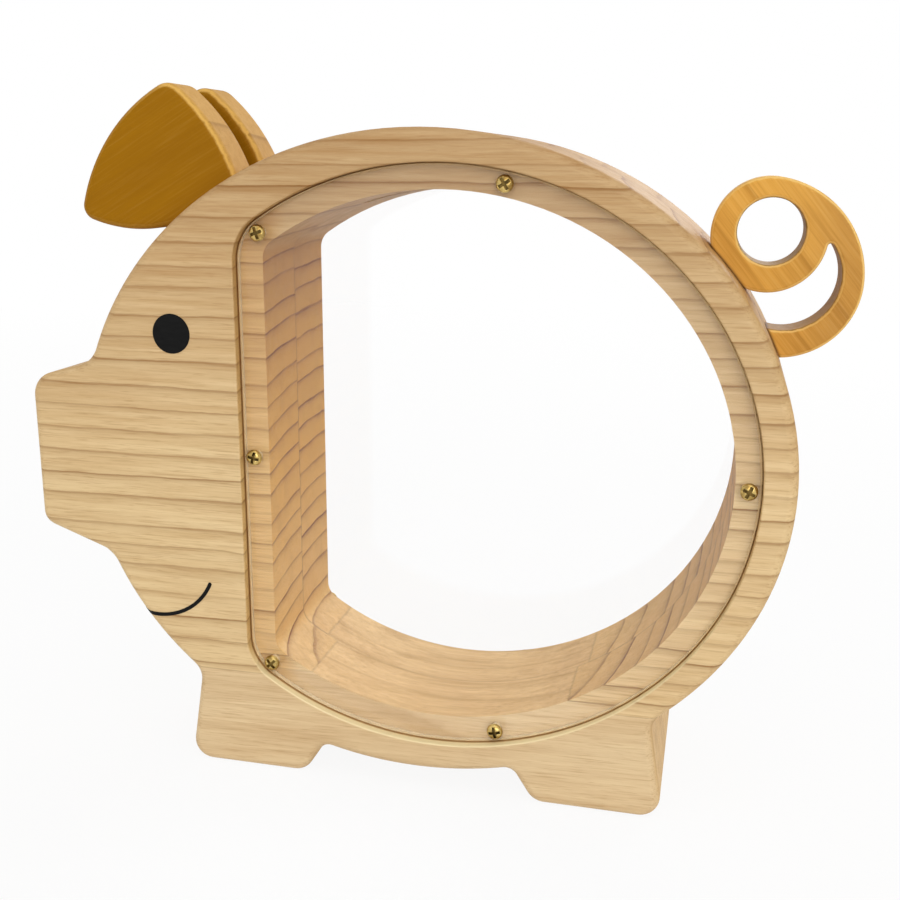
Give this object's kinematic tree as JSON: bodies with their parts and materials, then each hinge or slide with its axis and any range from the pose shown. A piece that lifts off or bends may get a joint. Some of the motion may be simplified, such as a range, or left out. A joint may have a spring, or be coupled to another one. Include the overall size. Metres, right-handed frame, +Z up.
{
  "type": "wooden money box",
  "caption": "Pig-shaped pine money box with clear screwed-on windows front and rear, a coin slot in its back, ochre ears and curled tail, standing on flat feet.",
  "frame": {"origin": "on the ground under the middle of the whole length, at the joint between the front and rear boards", "axes": "+X from snout to tail, +Y from the front window to the rear window, +Z up"},
  "size_m": [0.1968, 0.0502, 0.1703],
  "materials": {
    "pine_front": "satin clear lacquer",
    "pine_rear": "satin clear lacquer",
    "pine_foot_front": "satin clear lacquer",
    "pine_foot_rear": "satin clear lacquer",
    "ochre_paint": "ochre paint, worn at edges",
    "ochre_stain": "ochre stain, satin",
    "dowel_wood": "plain",
    "clear_acrylic": "polished, clear",
    "brass": "brass plated",
    "black_paint": "satin black paint"
  },
  "bodies": {
    "frame": {"front_upper_board": "pine_front", "front_foot_board": "pine_foot_front", "front_ear": "ochre_paint", "front_ear_dowel_1": "dowel_wood", "front_ear_dowel_2": "dowel_wood", "front_eye": "black_paint", "front_mouth": "black_paint", "rear_upper_board": "pine_rear", "rear_foot_board": "pine_foot_rear", "rear_ear": "ochre_paint", "rear_ear_dowel_1": "dowel_wood", "rear_ear_dowel_2": "dowel_wood", "rear_eye": "black_paint", "rear_mouth": "black_paint", "tail": "ochre_stain", "tail_dowel": "dowel_wood"},
    "front_window": {"front_window": "clear_acrylic"},
    "rear_window": {"rear_window": "clear_acrylic"},
    "front_screw_1": {"front_screw_1": "brass"},
    "front_screw_2": {"front_screw_2": "brass"},
    "front_screw_3": {"front_screw_3": "brass"},
    "front_screw_4": {"front_screw_4": "brass"},
    "front_screw_5": {"front_screw_5": "brass"},
    "front_screw_6": {"front_screw_6": "brass"},
    "rear_screw_1": {"rear_screw_1": "brass"},
    "rear_screw_2": {"rear_screw_2": "brass"},
    "rear_screw_3": {"rear_screw_3": "brass"},
    "rear_screw_4": {"rear_screw_4": "brass"},
    "rear_screw_5": {"rear_screw_5": "brass"},
    "rear_screw_6": {"rear_screw_6": "brass"}
  },
  "joints": [
    {"name": "front_window_lift_off", "type": "slide", "parent": "frame", "child": "front_window", "axis": [0, -1, 0], "range_m": [0, 0.06]},
    {"name": "rear_window_lift_off", "type": "slide", "parent": "frame", "child": "rear_window", "axis": [0, 1, 0], "range_m": [0, 0.06]},
    {"name": "front_screw_1_back_out", "type": "slide", "parent": "front_window", "child": "front_screw_1", "axis": [0, -1, 0], "range_m": [0, 0.018]},
    {"name": "front_screw_2_back_out", "type": "slide", "parent": "front_window", "child": "front_screw_2", "axis": [0, -1, 0], "range_m": [0, 0.018]},
    {"name": "front_screw_3_back_out", "type": "slide", "parent": "front_window", "child": "front_screw_3", "axis": [0, -1, 0], "range_m": [0, 0.018]},
    {"name": "front_screw_4_back_out", "type": "slide", "parent": "front_window", "child": "front_screw_4", "axis": [0, -1, 0], "range_m": [0, 0.018]},
    {"name": "front_screw_5_back_out", "type": "slide", "parent": "front_window", "child": "front_screw_5", "axis": [0, -1, 0], "range_m": [0, 0.018]},
    {"name": "front_screw_6_back_out", "type": "slide", "parent": "front_window", "child": "front_screw_6", "axis": [0, -1, 0], "range_m": [0, 0.018]},
    {"name": "rear_screw_1_back_out", "type": "slide", "parent": "rear_window", "child": "rear_screw_1", "axis": [0, 1, 0], "range_m": [0, 0.018]},
    {"name": "rear_screw_2_back_out", "type": "slide", "parent": "rear_window", "child": "rear_screw_2", "axis": [0, 1, 0], "range_m": [0, 0.018]},
    {"name": "rear_screw_3_back_out", "type": "slide", "parent": "rear_window", "child": "rear_screw_3", "axis": [0, 1, 0], "range_m": [0, 0.018]},
    {"name": "rear_screw_4_back_out", "type": "slide", "parent": "rear_window", "child": "rear_screw_4", "axis": [0, 1, 0], "range_m": [0, 0.018]},
    {"name": "rear_screw_5_back_out", "type": "slide", "parent": "rear_window", "child": "rear_screw_5", "axis": [0, 1, 0], "range_m": [0, 0.018]},
    {"name": "rear_screw_6_back_out", "type": "slide", "parent": "rear_window", "child": "rear_screw_6", "axis": [0, 1, 0], "range_m": [0, 0.018]}
  ]
}
